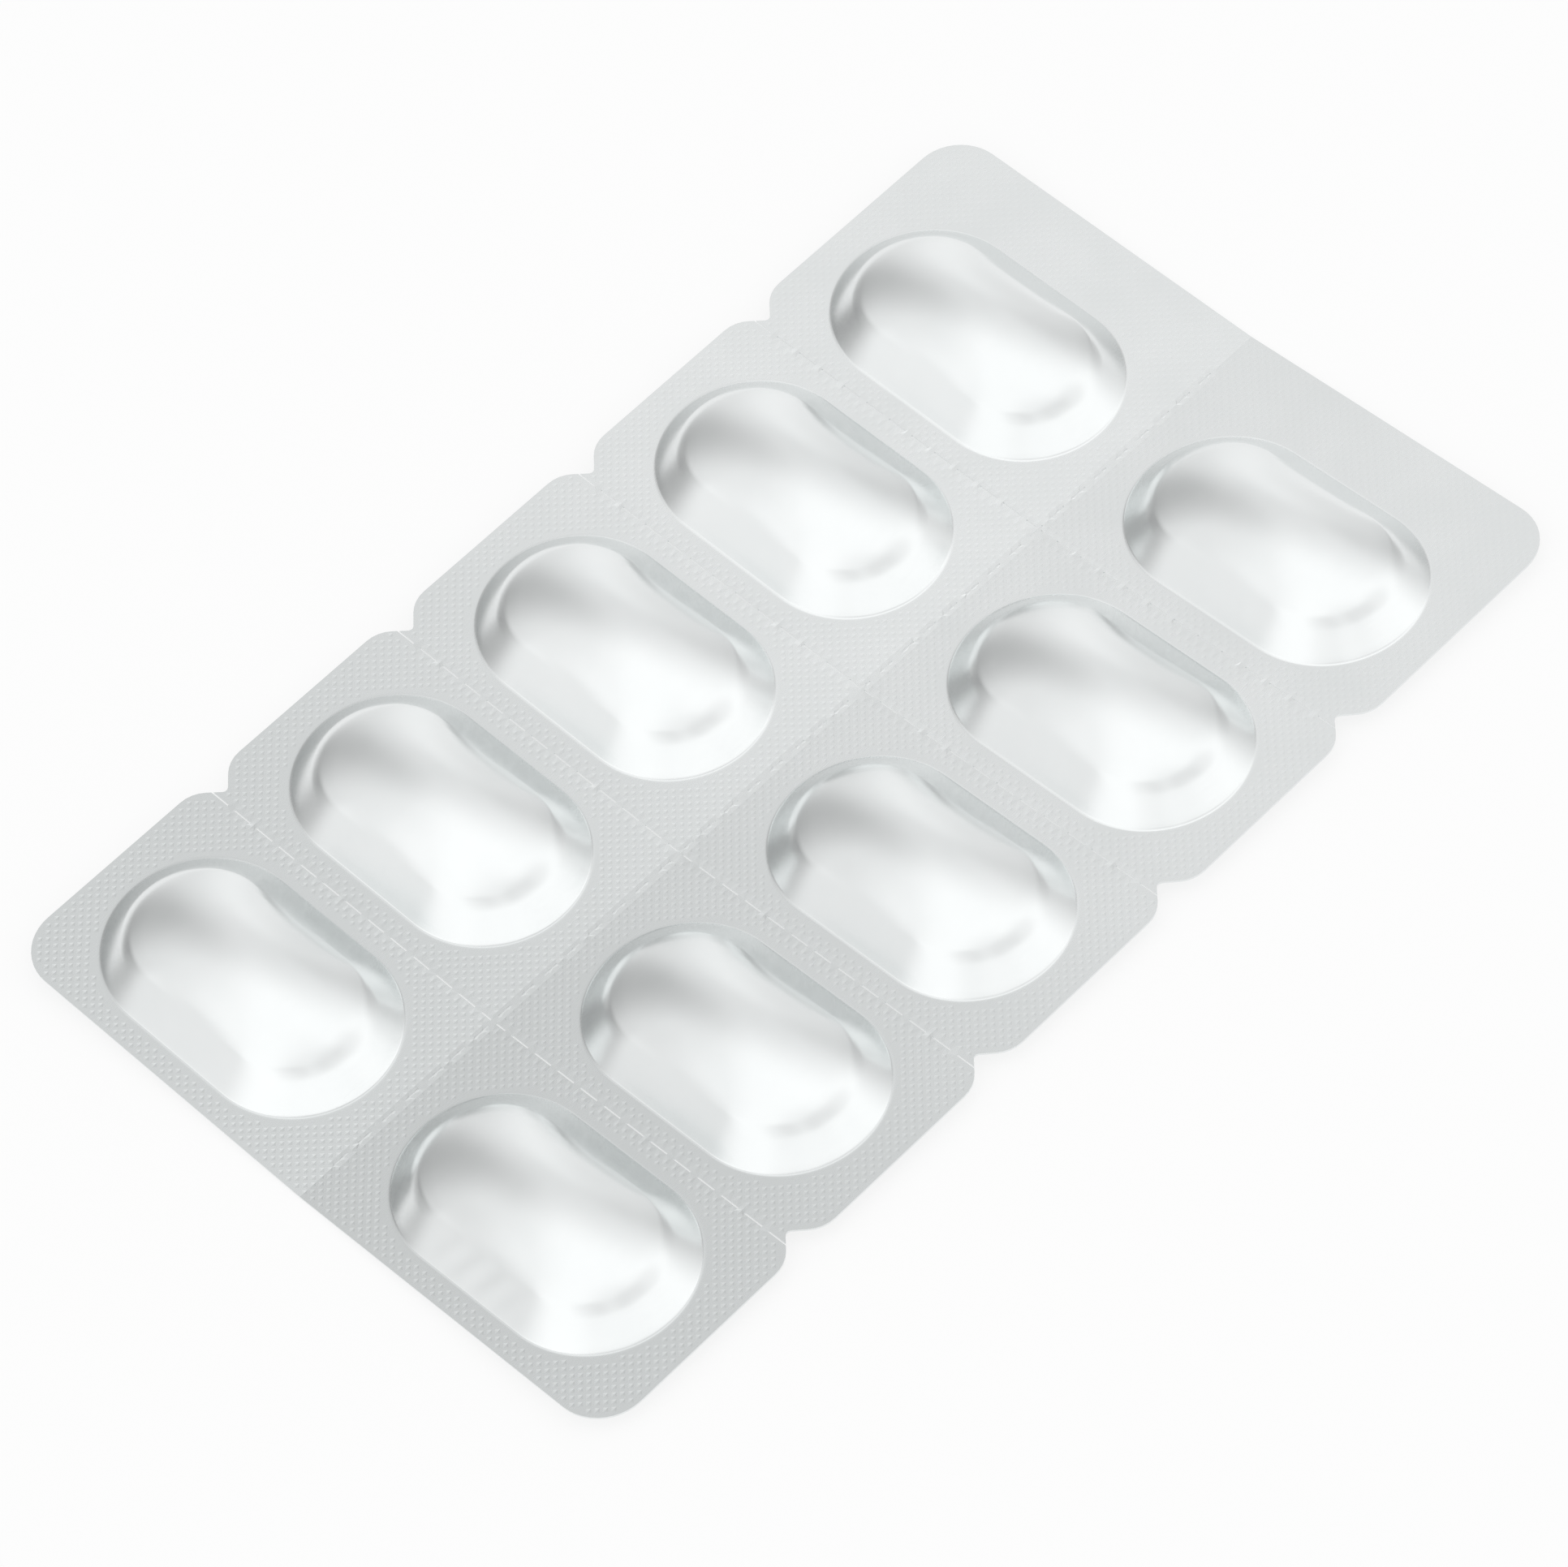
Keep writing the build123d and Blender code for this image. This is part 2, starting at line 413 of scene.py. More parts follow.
def pack_tree():
    """Tree for the pack: pockets on a grid, joined to the web, and both halves bent up from the centre."""
    tree, given = new_tree("Blister pack", {"Pocket": "Object", "Rows": "Int", "Columns": "Int",
                                            "Row pitch": "Float", "Column pitch": "Float", "Centre": "Vector",
                                            "Join": "Float", "Bend": "Float", "Foil": "Material",
                                            "Lid": "Material"})
    gaps = [maths(tree, "SUBTRACT", given[name], 1.0) for name in ("Rows", "Columns")]
    row_span = maths(tree, "MULTIPLY", gaps[0], given["Row pitch"])
    column_span = maths(tree, "MULTIPLY", gaps[1], given["Column pitch"])
    grid = add(tree, "GeometryNodeMeshGrid", {"Size X": row_span, "Size Y": column_span,
                                              "Vertices X": given["Rows"], "Vertices Y": given["Columns"]})
    grid = add(tree, "GeometryNodeTransform", {"Geometry": grid, "Translation": given["Centre"]})
    shell = add(tree, "GeometryNodeObjectInfo", {"Object": given["Pocket"]})
    pockets = add(tree, "GeometryNodeInstanceOnPoints",
                  {"Points": grid, "Instance": shell.outputs["Geometry"]})
    pockets = add(tree, "GeometryNodeRealizeInstances", {"Geometry": pockets})
    whole = add(tree, "GeometryNodeJoinGeometry", {"Geometry": pockets})
    tree.links.new(given["Geometry"], whole.inputs[0])
    whole = add(tree, "GeometryNodeMergeByDistance", {"Geometry": whole, "Distance": given["Join"]})
    place = add(tree, "ShaderNodeSeparateXYZ", {0: add(tree, "GeometryNodeInputPosition")})
    x, y, z = place.outputs
    out = maths(tree, "ABSOLUTE", y)
    cosine = maths(tree, "COSINE", given["Bend"])
    sine = maths(tree, "SINE", given["Bend"])
    bent_out = maths(tree, "SUBTRACT", maths(tree, "MULTIPLY", out, cosine), maths(tree, "MULTIPLY", z, sine))
    # Next to the centre line the foil is squeezed, not pushed across the line
    bent_out = maths(tree, "MAXIMUM", bent_out, 0.0)
    bent_y = maths(tree, "MULTIPLY", bent_out, maths(tree, "SIGN", y))
    bent_z = maths(tree, "MULTIPLY_ADD", z, cosine, maths(tree, "MULTIPLY", out, sine))
    bent = add(tree, "ShaderNodeCombineXYZ", {"X": x, "Y": bent_y, "Z": bent_z})
    whole = add(tree, "GeometryNodeSetPosition", {"Geometry": whole, "Position": bent})
    whole = add(tree, "GeometryNodeRealizeInstances", {"Geometry": whole})
    whole = add(tree, "GeometryNodeSetMaterial", {"Geometry": whole, "Material": given["Foil"]})
    lid_side = add(tree, "GeometryNodeInputNamedAttribute", {"Name": "lid"}, data_type="BOOLEAN")
    whole = add(tree, "GeometryNodeSetMaterial",
                {"Geometry": whole, "Selection": lid_side, "Material": given["Lid"]})
    add(tree, "NodeGroupOutput", {"Geometry": whole})
    return tree


def rounded_run(corners, step):
    """Points along straight runs whose corners, given as x, y and radius, are rounded."""
    points = [Vector(corners[0][:2])]
    for before, corner, after in zip(corners, corners[1:], corners[2:]):
        middle = Vector(corner[:2])
        into = (middle - Vector(before[:2])).normalized()
        away = (Vector(after[:2]) - middle).normalized()
        turn = math.atan2(into.x * away.y - into.y * away.x, into.dot(away))
        start = middle - into * corner[2] * math.tan(abs(turn) / 2)
        spoke = Vector((into.y, -into.x)) * math.copysign(corner[2], turn)
        count = max(3, math.ceil(abs(turn) * corner[2] / step))
        for k in range(count + 1):
            points.append(start - spoke + Matrix.Rotation(turn * k / count, 2) @ spoke)
    points.append(Vector(corners[-1][:2]))
    return divided(points, step)


def divided(points, step):
    """The same line with no stretch longer than the step."""
    line = [points[0]]
    for start, end in zip(points, points[1:]):
        count = max(1, math.ceil((end - start).length / step))
        line += [start.lerp(end, k / count) for k in range(1, count + 1)]
    return line


EDGE_STEP = 0.6 * MM        # longest stretch of an edge
CORNERS = 4                 # of a cut or a dimple; a dimple's tip comes after them
EVERY_TRIANGLE = 0          # the triangulation's output, of which the foil's part is kept afterwards
SAME_PLACE = 1e-5           # millimetres within which it takes two points for one
KEY_DIGITS = 4              # decimals of a millimetre by which points of both sides are paired
JOIN_REACH = 0.002 * MM     # within which the pockets and the web are joined


def web_outline(web, pocket, tear):
    """Outline of the flat web. The last cut of each tear line runs out into its notch."""
    half_length = web.length / 2
    half_width = web.width / 2
    mouth = web.notch_depth / math.tan(web.notch_flank)
    root = half_width - web.notch_depth
    corners = [(-half_length, 0, 0), (-half_length, half_width, web.corner_radius)]
    for place in tear_places(web, pocket):
        notch = place + web.notch_shift
        corners += [(notch - mouth, half_width, web.notch_shoulder_radius),
                    (notch, root, web.notch_root_radius),
                    (notch + mouth, half_width, web.notch_shoulder_radius)]
    corners += [(half_length, half_width, web.corner_radius), (half_length, 0, 0)]
    edge = rounded_run(corners, EDGE_STEP)
    floor = row_cut_starts(web, tear)[-1]
    for place in tear_places(web, pocket):
        edge = with_open_cut(edge, place, tear.cut_width, floor, half_length - web.corner_radius)
    mirrored = [Vector((point.x, -point.y)) for point in reversed(edge[1:-1])]
    return edge + mirrored


def with_open_cut(edge, place, width, floor, reach):
    """The edge with a cut that opens into it."""
    level_points = [point for point in edge if abs(point.x) < reach and point.y > floor + EDGE_STEP]
    xs = [point.x for point in level_points]
    ys = [point.y for point in level_points]
    left = place - width / 2
    right = place + width / 2
    top_left = Vector((left, np.interp(left, xs, ys)))
    top_right = Vector((right, np.interp(right, xs, ys)))
    cut = divided([top_left, Vector((left, floor))], EDGE_STEP)
    cut += divided([Vector((right, floor)), top_right], EDGE_STEP)
    return [p for p in edge if p.x < left] + cut + [p for p in edge if p.x > right]


def row_cut_starts(web, tear):
    """Where the cuts of a tear line start, out from the centre line, after the short first one."""
    root = web.width / 2 - web.notch_depth
    step = tear.row_cut + tear.row_bridge
    first = tear.crossing_bridge / 2 + tear.row_first_cut + tear.row_bridge
    count = math.floor((root - first) / step)
    return [first + k * step for k in range(count + 1)]


def boundary_gap(points, loop):
    """Distance of points from a closed line, and whether they lie inside it."""
    start = np.array(loop)
    end = np.roll(start, -1, axis=0)
    run = end - start
    squared = (run**2).sum(1)
    gap = np.empty(len(points))
    inside = np.empty(len(points), bool)
    chunk = 4000
    for first in range(0, len(points), chunk):
        some = points[first:first + chunk, None, :]
        along = np.clip(((some - start) * run).sum(2) / squared, 0, 1)
        gap[first:first + chunk] = np.sqrt((((start + along[..., None] * run) - some) ** 2).sum(2).min(1))
        crosses = (start[:, 1] > some[..., 1]) != (end[:, 1] > some[..., 1])
        rise = np.where(run[:, 1] == 0, 1, run[:, 1])
        where = start[:, 0] + (some[..., 1] - start[:, 1]) / rise * run[:, 0]
        inside[first:first + chunk] = (crosses & (some[..., 0] < where)).sum(1) % 2 == 1
    return gap, inside


def pocket_gap(points, web, pocket):
    """Distance of points outside the foot of the nearest pocket, below zero within one."""
    radius, half_length = foot_section(pocket)
    straight = half_length - radius
    gap = np.full(len(points), np.inf)
    for x, y in pocket_centres(web, pocket):
        over = np.maximum(np.abs(points[:, 1] - y) - straight, 0)
        gap = np.minimum(gap, np.hypot(points[:, 0] - x, over) - radius)
    return gap


def cut_gap(points, cuts):
    """Distance of points from the nearest cut, zero within one."""
    low = cuts.min(1)
    high = cuts.max(1)
    gap = np.full(len(points), np.inf)
    for cut_low, cut_high in zip(low, high):
        beyond = np.maximum(np.maximum(cut_low - points, points - cut_high), 0)
        gap = np.minimum(gap, np.hypot(beyond[:, 0], beyond[:, 1]))
    return gap


def web_side(outline, feet, cuts, dimples, tear_lip):
    """Triangles of one side of the web: its points, their height over the side, and the faces."""
    points = []
    heights = []
    edges = []

    def closed_line(line, height):
        first = len(points)
        points.extend(line)
        heights.extend([height] * len(line))
        edges.extend((first + k, first + (k + 1) % len(line)) for k in range(len(line)))

    closed_line([tuple(p) for p in outline], 0.0)
    for foot in feet:
        closed_line(foot, 0.0)
    for cut in cuts:
        corners = [Vector(corner) for corner in cut]
        line = divided(corners + corners[:1], EDGE_STEP)[:-1]
        closed_line([tuple(p) for p in line], tear_lip)
    for dimple in dimples:
        first = len(points)
        points.extend(tuple(corner[:2]) for corner in dimple)
        heights.extend(corner[2] for corner in dimple)
        edges.extend((first + k, first + (k + 1) % CORNERS) for k in range(CORNERS))
    flat = [Vector((x / MM, y / MM)) for x, y in points]
    found, _, faces, sources, _, _ = delaunay_2d_cdt(flat, edges, [], EVERY_TRIANGLE, SAME_PLACE)
    level = np.array([heights[source[0]] if source else 0.0 for source in sources])
    return np.array([tuple(p) for p in found]) * MM, level, np.array(faces)


def free_dimples(field, web, pocket, seal, cuts, outline):
    """The dimples that lie clear of every edge, shallower towards the far end."""
    tips = field[:, CORNERS, :2]
    room = np.abs(field[:, :CORNERS, :2] - tips[:, None]).max() + seal.clear
    near = (np.abs(tips) < np.array([web.length / 2, web.width / 2])).all(1)
    near &= pocket_gap(tips, web, pocket) > room
    near &= cut_gap(tips, cuts) > room
    field = field[near]
    gap, inside = boundary_gap(field[:, CORNERS, :2], outline)
    field = field[inside & (gap > room)]
    far_share = np.clip(field[:, CORNERS, 0] / web.length + 0.5, 0, 1)
    field[:, CORNERS, 2] *= 1 + (seal.far_depth / seal.depth - 1) * far_share
    return field


def open_edges(triangles):
    """The edges that only one triangle has."""
    found = {}
    for a, b, c in triangles.tolist():
        for edge in ((a, b), (b, c), (c, a)):
            if edge[::-1] in found:
                del found[edge[::-1]]
            else:
                found[edge] = True
    return list(found)


def web_mesh(web, pocket, tear, seal, cuts, dimples, lid_dimples):
    """The web, open only at the pockets: forming foil, lidding foil under it and the cut edges between."""
    outline = web_outline(web, pocket, tear)
    outline_line = np.array([tuple(point) for point in outline])
    ring = stadium_ring(*foot_section(pocket))
    feet = [[(x + px, y + py) for px, py in ring] for x, y in pocket_centres(web, pocket)]
    vertices = []
    faces = []
    lid = []
    pressed = []
    rims = []
    for on_top, field in ((True, dimples), (False, lid_dimples)):
        field = free_dimples(field, web, pocket, seal, cuts, outline_line)
        found, level, triangles = web_side(outline, feet, cuts, field, tear.lip if on_top else 0.0)
        middle = found[triangles].mean(1)
        keep = boundary_gap(middle, outline_line)[1] & (cut_gap(middle, cuts) > 0)
        first = len(vertices)
        height = web.thickness + level if on_top else -level
        vertices.extend(np.column_stack([found, height]).tolist())
        rims.append([(first + a, first + b) for a, b in open_edges(triangles[keep])])
        if on_top:
            made = triangles[keep & (pocket_gap(middle, web, pocket) > 0)] + first
        else:
            made = triangles[keep][:, ::-1] + first
        faces.extend(made.tolist())
        lid.extend([not on_top] * len(made))
        pressed.extend([float(on_top)] * len(made))

    def flat_key(k):
        """Place of a vertex on the flat web, the same on both sides."""
        return tuple(round(value / MM, KEY_DIGITS) for value in vertices[k][:2])

    under = {flat_key(k): k for edge in rims[1] for k in edge}
    faces.extend((under[flat_key(a)], under[flat_key(b)], b, a) for a, b in rims[0])
    lid.extend([False] * len(rims[0]))
    pressed.extend([0.0] * len(rims[0]))
    mesh = bpy.data.meshes.new("web_sheet")
    mesh.from_pydata(vertices, [], faces)
    mesh.shade_flat()
    mesh.attributes.new("lid", "BOOLEAN", "FACE").data.foreach_set("value", lid)
    mesh.attributes.new("pressed", "FLOAT", "FACE").data.foreach_set("value", pressed)
    return mesh


def press_waves(mesh, web, pocket, wear):
    """Presses waves into the near wall of the first pocket at -Y, fading out before the wall ends."""
    spots = places(mesh)
    half_height = pocket.end_shoulder / 2
    half_run = (pocket.length - pocket.width) / 2
    inward = np.array([math.cos(pocket.wall_lean), 0, -math.sin(pocket.wall_lean)])
    height = spots[:, 2] - np.abs(spots[:, 1]) * math.tan(web.fold_angle) - web.thickness
    along = spots[:, 1] + pocket.column_pitch / 2
    fade = np.clip(1 - (height / half_height - 1) ** 2, 0, 1) * np.clip(1 - (along / half_run) ** 2, 0, 1)
    fade[spots[:, 0] > row_places(web, pocket)[0] - pocket.width / 4] = 0
    wave = 0.5 + 0.5 * np.sin((along + height * wear.wave_slant) * 2 * math.pi / wear.wave_pitch)
    spots += (wear.wave_depth * fade * wave)[:, None] * inward
    mesh.vertices.foreach_set("co", spots.astype(np.float32).ravel())
    mesh.update()


CLOUD_SIZE = 7 * MM         # slow changes of colour and gloss
GRAIN_WIDTH = 0.12 * MM     # rolling grain, really about 0.02 mm wide, drawn so that it can be seen
GRAIN_STRETCH = 0.06        # its width for its length
GRAIN_DEPTH = 0.0004 * MM
CLOUD_GLOSS = 0.6           # weight of the slow changes in the gloss, to 1 for the grain
GLOSS_RANGE = (0.5, 1.1)    # usual least and most of that sum
GLOSS_SPREAD = 0.04         # how far the roughness varies each way
PRESSED_ROUGHNESS = 0.04    # added under the sealing plate
FULL_SHADE_X = -40 * MM     # X up to which the foil under the plate is painted fully in shade
NO_SHADE_X = 25 * MM       # X from which no shade is painted on it


def foil_material(name, finish, roughness, pebble, pebble_depth):
    """Satin aluminium foil with a fine rolling grain, soft pebbles and slow changes of gloss."""
    material = bpy.data.materials.new(name)
    material.use_nodes = True
    tree = material.node_tree
    tree.nodes.clear()
    place = add(tree, "ShaderNodeTexCoord").outputs["Object"]
    cloud = add(tree, "ShaderNodeTexNoise",
                {"Vector": place, "Scale": 1 / CLOUD_SIZE, "Detail": 3.0, "Roughness": 0.55})
    stretch = add(tree, "ShaderNodeMapping", {"Vector": place, "Scale": (GRAIN_STRETCH, 1.0, 1.0)})
    grain = add(tree, "ShaderNodeTexNoise", {"Vector": stretch, "Scale": 1 / GRAIN_WIDTH, "Detail": 2.0})
    ripple = add(tree, "ShaderNodeTexNoise", {"Vector": place, "Scale": 1 / pebble, "Detail": 2.0})
    pressed = add(tree, "ShaderNodeAttribute", attribute_name="pressed").outputs["Fac"]
    along = add(tree, "ShaderNodeSeparateXYZ", {0: place}).outputs["X"]
    # Painted shade: the foil under the plate is darker towards the near end and fades out past the middle
    near_shade = add(tree, "ShaderNodeMapRange",
                   {"Value": along, "From Min": FULL_SHADE_X, "From Max": NO_SHADE_X,
                    "To Min": 1.0, "To Max": 0.0}, interpolation_type="SMOOTHSTEP")
    tint = mix_colours(tree, cloud, (*finish.dull, 1), (*finish.bright, 1))
    # The pressed foil's darker colour, laid on as painted shade
    tint = mix_colours(tree, maths(tree, "MULTIPLY", near_shade, pressed), tint, (*finish.pressed, 1))
    gloss = add(tree, "ShaderNodeMapRange",
                {"Value": maths(tree, "MULTIPLY_ADD", cloud, CLOUD_GLOSS, grain),
                 "From Min": GLOSS_RANGE[0], "From Max": GLOSS_RANGE[1],
                 "To Min": roughness - GLOSS_SPREAD, "To Max": roughness + GLOSS_SPREAD})
    gloss = maths(tree, "MULTIPLY_ADD", pressed, PRESSED_ROUGHNESS, gloss)
    relief = add(tree, "ShaderNodeBump", {"Strength": 1.0, "Distance": GRAIN_DEPTH, "Height": grain})
    relief = add(tree, "ShaderNodeBump",
                 {"Strength": 1.0, "Distance": pebble_depth, "Height": ripple, "Normal": relief})
    surface = add(tree, "ShaderNodeBsdfPrincipled",
                  {"Base Color": tint, "Metallic": 1.0, "Roughness": gloss, "Normal": relief})
    add(tree, "ShaderNodeOutputMaterial", {"Surface": surface})
    return material


class BLISTER_OT_tear_cuts(bpy.types.Operator):
    """Lays out the cuts of the tear lines"""
    bl_idname = "blister.tear_cuts"
    bl_label = "Tear cuts"

    def execute(self, context):
        scene = context.scene
        web, pocket, tear = scene.blister_web, scene.blister_pocket, scene.blister_tear
        tree = tear_tree()
        lines = tear_places(web, pocket)
        starts = row_cut_starts(web, tear)
        row_step = tear.row_cut + tear.row_bridge
        centre_step = tear.centre_cut + tear.centre_bridge
        centre_first = -web.length / 2 + tear.centre_near_margin
        centre_room = web.length / 2 - tear.centre_far_margin - centre_first - tear.centre_cut
        first_cut = tear.crossing_bridge / 2 + tear.row_first_cut / 2
        second_cut = starts[0] + tear.row_cut / 2
        loops = []

        def lay(cut, first, step, count, line_count):
            """Lays one line of cuts, and repeats it at the tear lines."""
            made = run_tree(tree, {"Cut": (*cut, 0.0), "First": (*first, 0.0), "Step": (*step, 0.0),
                                   "Cuts": count, "Line step": (pocket.row_pitch, 0.0, 0.0),
                                   "Lines": line_count})
            loops.append(places(made))
            bpy.data.meshes.remove(made)

        lay((tear.centre_cut, tear.cut_width), (centre_first + tear.centre_cut / 2, 0.0), (centre_step, 0.0),
            math.floor(centre_room / centre_step) + 1, 1)
        for side in (-1, 1):
            lay((tear.cut_width, tear.row_first_cut), (lines[0], side * first_cut), (0.0, 0.0), 1, len(lines))
            lay((tear.cut_width, tear.row_cut), (lines[0], side * second_cut), (0.0, side * row_step),
                len(starts) - 1, len(lines))
        mesh = bpy.data.meshes.new("tear_cuts")
        mesh.from_pydata(np.vstack(loops).tolist(), [], [])
        new_object("tear_cuts", mesh)
        return {"FINISHED"}


class BLISTER_OT_seal_dimples(bpy.types.Operator):
    """Lays out the dimples of the seal on both foils"""
    bl_idname = "blister.seal_dimples"
    bl_label = "Seal dimples"

    def execute(self, context):
        scene = context.scene
        web, seal = scene.blister_web, scene.blister_seal
        tree = dimple_tree()
        count = math.ceil(math.hypot(web.length, web.width) / seal.pitch) // 2 * 2 + 1
        for name, width in (("dimples", seal.dimple), ("lid_dimples", seal.lid_dimple)):
            half = seal.pitch * width / 2
            corners = [(-half, -half, 0), (half, -half, 0), (half, half, 0), (-half, half, 0)]
            tip = (0, 0, -seal.depth)
            flanks = [(k, (k + 1) % CORNERS, CORNERS) for k in range(CORNERS)]
            dimple = bpy.data.meshes.new("dimple")
            dimple.from_pydata(corners + [tip], [], flanks)
            one = new_object("dimple", dimple)
            made = run_tree(tree, {"Dimple": one, "Size": (count - 1) * seal.pitch, "Count": count,
                                   "Turn": seal.turn})
            bpy.data.objects.remove(one)
            new_object(name, made)
        return {"FINISHED"}


class BLISTER_OT_pocket(bpy.types.Operator):
    """Makes the shell of one pocket"""
    bl_idname = "blister.pocket"
    bl_label = "Pocket"

    def execute(self, context):
        new_object("pocket_shell", pocket_shell(context.scene.blister_pocket))
        return {"FINISHED"}


class BLISTER_OT_pack(bpy.types.Operator):
    """Makes the web, sets the pockets in it and bends the pack"""
    bl_idname = "blister.pack"
    bl_label = "Blister pack"

    def execute(self, context):
        scene = context.scene
        web, pocket, finish = scene.blister_web, scene.blister_pocket, scene.blister_finish
        helpers = [needed(name) for name in ("tear_cuts", "dimples", "lid_dimples", "pocket_shell")]
        tear_cuts, dimples, lid_dimples, shell = (helper.data for helper in helpers)
        cuts = places(tear_cuts).reshape(-1, CORNERS, 3)[:, :, :2]
        fields = [places(field).reshape(-1, CORNERS + 1, 3) for field in (dimples, lid_dimples)]
        sheet = web_mesh(web, pocket, scene.blister_tear, scene.blister_seal, cuts, *fields)
        rows = row_places(web, pocket)
        foil = foil_material("Satin aluminium forming foil", finish, finish.roughness, finish.pebble,
                             finish.pebble_depth)
        lid = foil_material("Rolled aluminium lidding foil", finish, finish.lid_roughness, finish.lid_pebble,
                            finish.lid_pebble_depth)
        for mesh in (sheet, shell):
            mesh.materials.append(foil)
        made = run_tree(pack_tree(), {
            "Pocket": helpers[-1], "Rows": pocket.rows, "Columns": pocket.columns,
            "Row pitch": pocket.row_pitch, "Column pitch": pocket.column_pitch,
            "Centre": ((rows[0] + rows[-1]) / 2, 0.0, web.thickness), "Join": JOIN_REACH,
            "Bend": web.fold_angle, "Foil": foil, "Lid": lid}, sheet)
        made.name = "blister_foil"
        press_waves(made, web, pocket, scene.blister_wear)
        piece = new_object("blister_foil", made)
        for helper in helpers:
            bpy.data.objects.remove(helper)
        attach(piece, "root")
        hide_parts(NODE)
        return {"FINISHED"}


# A white tent lights the pack from all round. Each of its darker or lighter parts has an azimuth from +X to
# +Y and an elevation, the angles from there to the end of its full strength and to its edge, all in degrees,
# and its strength
TENT_LIGHT = 1.18
TENT_SHADES = (
    (45, 19, 27, 68, -0.31),     # the open side of the tent, behind the far end of the pack
    (30, 14, 10, 28, 0.16),      # a lighter panel low down in it
    (5, 14, 6, 36, -0.18),       # the gap at its right and the edge of the table there
    (-12, 0, 4, 36, -0.20),
    (104, 34, 2, 46, -0.26),     # the gap at its left and the edge of the table there
    (92, 14, 8, 34, -0.12),
    (126, -17, 13, 62, -0.38),
    (122, 0, 8, 26, -0.20),
    (245, 55, 8, 28, -0.15),     # the camera and whoever stands behind it
    (216, 47, 6, 20, -0.15),
    (272, 49, 6, 21, -0.15),
    (300, 45, 6, 20, -0.15),
    (270, -4, 6, 26, -0.34),     # the edge of the table on the near side
)


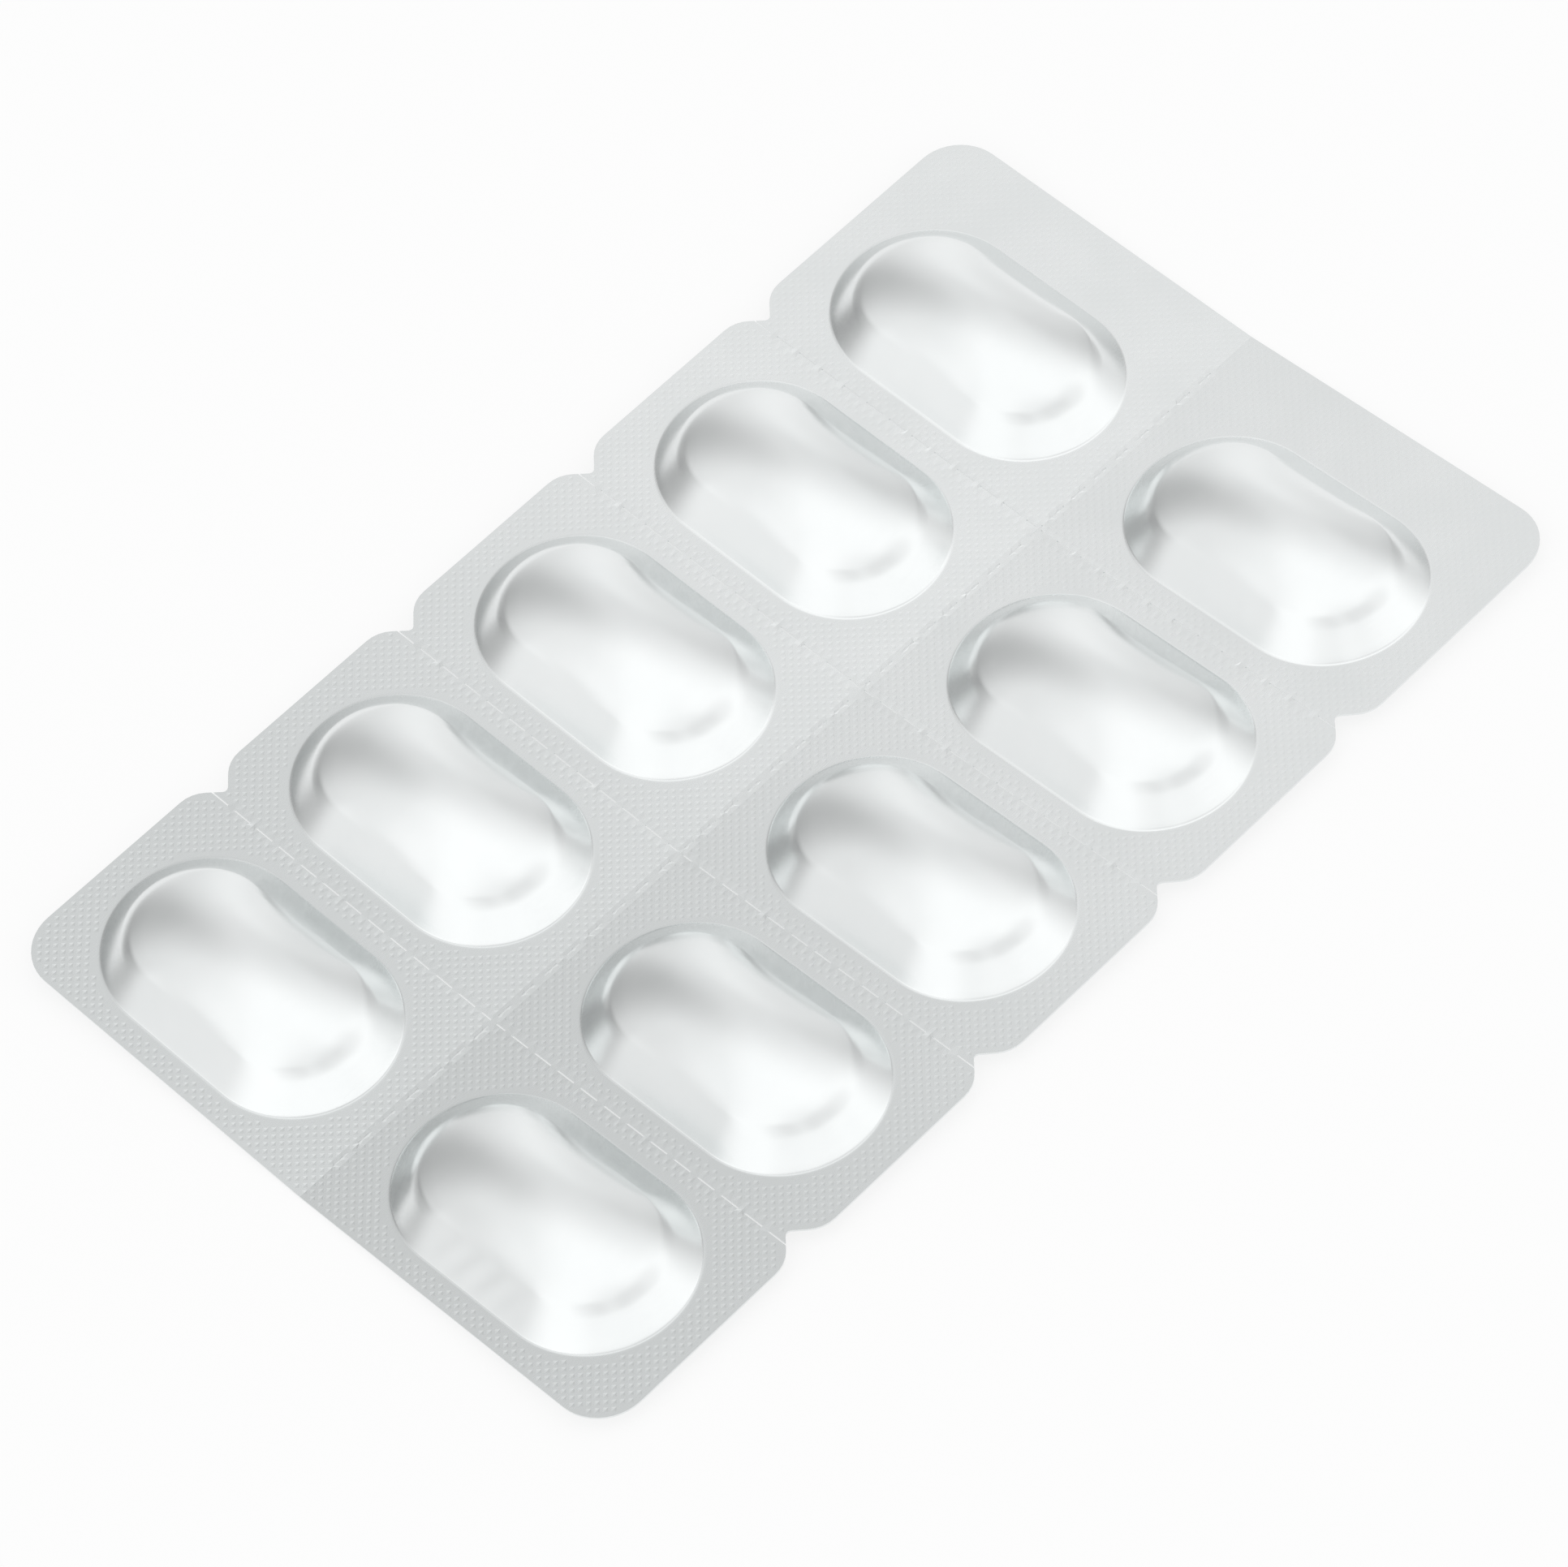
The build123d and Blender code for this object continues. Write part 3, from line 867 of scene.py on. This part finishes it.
class BLISTER_OT_stage(bpy.types.Operator):
    """Makes the floor, the soft studio light and the camera"""
    bl_idname = "blister.stage"
    bl_label = "Stage"

    def execute(self, context):
        scene = context.scene
        studio = scene.blister_studio
        self.make_floor(studio)
        self.make_light(scene)
        self.make_camera(scene, studio)
        scene.view_settings.view_transform = "Standard"
        return {"FINISHED"}

    def make_floor(self, studio):
        half = studio.floor_size / 2
        mesh = bpy.data.meshes.new("floor")
        corners = [(-half, -half, 0), (half, -half, 0), (half, half, 0), (-half, half, 0)]
        mesh.from_pydata(corners, [], [(0, 1, 2, 3)])
        floor = new_object("floor", mesh)
        material = bpy.data.materials.new("White table")
        material.use_nodes = True
        tree = material.node_tree
        tree.nodes.clear()
        path = add(tree, "ShaderNodeLightPath")
        seen = maths(tree, "MAXIMUM", path.outputs["Is Camera Ray"], path.outputs["Is Glossy Ray"])
        seen = maths(tree, "MAXIMUM", seen, path.outputs["Is Transmission Ray"])
        seen = maths(tree, "MULTIPLY", seen, studio.floor_white)
        matt = add(tree, "ShaderNodeBsdfDiffuse", {"Color": (*studio.floor, 1)})
        white = add(tree, "ShaderNodeEmission", {"Color": (1, 1, 1, 1), "Strength": 1.0})
        surface = add(tree, "ShaderNodeMixShader", {0: seen, 1: matt, 2: white})
        add(tree, "ShaderNodeOutputMaterial", {"Surface": surface})
        mesh.materials.append(material)

    def make_light(self, scene):
        world = bpy.data.worlds.new("Studio")
        scene.world = world
        world.use_nodes = True
        tree = world.node_tree
        tree.nodes.clear()
        way = add(tree, "ShaderNodeTexCoord").outputs["Generated"]
        way = add(tree, "ShaderNodeVectorMath", {0: way}, operation="NORMALIZE")
        light = TENT_LIGHT
        for azimuth, elevation, reach, edge, strength in TENT_SHADES:
            bearing = math.radians(azimuth)
            height = math.radians(elevation)
            level = math.cos(height)
            toward = (math.cos(bearing) * level, math.sin(bearing) * level, math.sin(height))
            near = add(tree, "ShaderNodeVectorMath", {0: way, 1: toward}, operation="DOT_PRODUCT")
            glow = add(tree, "ShaderNodeMapRange",
                       {"Value": near.outputs["Value"], "From Min": math.cos(math.radians(edge)),
                        "From Max": math.cos(math.radians(reach))}, interpolation_type="SMOOTHSTEP")
            light = maths(tree, "MULTIPLY_ADD", glow, strength, light)
        background = add(tree, "ShaderNodeBackground", {"Color": (1, 1, 1, 1), "Strength": light})
        add(tree, "ShaderNodeOutputWorld", {"Surface": background})

    def make_camera(self, scene, studio):
        data = bpy.data.cameras.new("camera")
        data.sensor_fit = "HORIZONTAL"
        data.sensor_width = studio.film_width
        data.lens = studio.lens
        place = Vector(studio.camera_place)
        forward = (Vector(studio.camera_aim) - place).normalized()
        right = forward.cross(Vector((0, 0, 1))).normalized()
        down = forward.cross(right)
        cosine = math.cos(studio.camera_roll)
        sine = math.sin(studio.camera_roll)
        across = right * cosine + down * sine
        up = right * sine - down * cosine
        camera = bpy.data.objects.new("camera", data)
        turn = Matrix((across, up, -forward)).transposed()
        camera.matrix_world = Matrix.Translation(place) @ turn.to_4x4()
        scene.collection.objects.link(camera)
        scene.camera = camera


class BLISTER_PT_panel(bpy.types.Panel):
    """Lists the sizes and the steps of the pack."""
    bl_idname = "BLISTER_PT_panel"
    bl_label = "Blister pack"
    bl_space_type = "VIEW_3D"
    bl_region_type = "UI"
    bl_category = "Blister pack"

    def draw(self, context):
        for name, group in GROUPS.items():
            box = self.layout.box()
            for field in group.__annotations__:
                box.prop(getattr(context.scene, name), field)
        for step in STEPS:
            self.layout.operator(step.bl_idname)


GROUPS = {
    "blister_web": WebSizes,
    "blister_pocket": PocketSizes,
    "blister_tear": TearSizes,
    "blister_seal": SealSizes,
    "blister_wear": WearSizes,
    "blister_finish": FoilFinish,
    "blister_studio": StudioSetup,
}
STEPS = (BLISTER_OT_tear_cuts, BLISTER_OT_seal_dimples, BLISTER_OT_pocket, BLISTER_OT_pack, BLISTER_OT_stage)


def register():
    for group in GROUPS.values():
        bpy.utils.register_class(group)
    for name, group in GROUPS.items():
        setattr(bpy.types.Scene, name, PointerProperty(type=group))
    for step in STEPS:
        bpy.utils.register_class(step)
    bpy.utils.register_class(BLISTER_PT_panel)


def unregister():
    bpy.utils.unregister_class(BLISTER_PT_panel)
    for step in reversed(STEPS):
        bpy.utils.unregister_class(step)
    for name in GROUPS:
        delattr(bpy.types.Scene, name)
    for group in reversed(GROUPS.values()):
        bpy.utils.unregister_class(group)


def main():
    register()
    bpy.ops.blister.tear_cuts()
    bpy.ops.blister.seal_dimples()
    bpy.ops.blister.pocket()
    bpy.ops.blister.pack()
    bpy.ops.blister.stage()


if __name__ == "__main__":
    main()
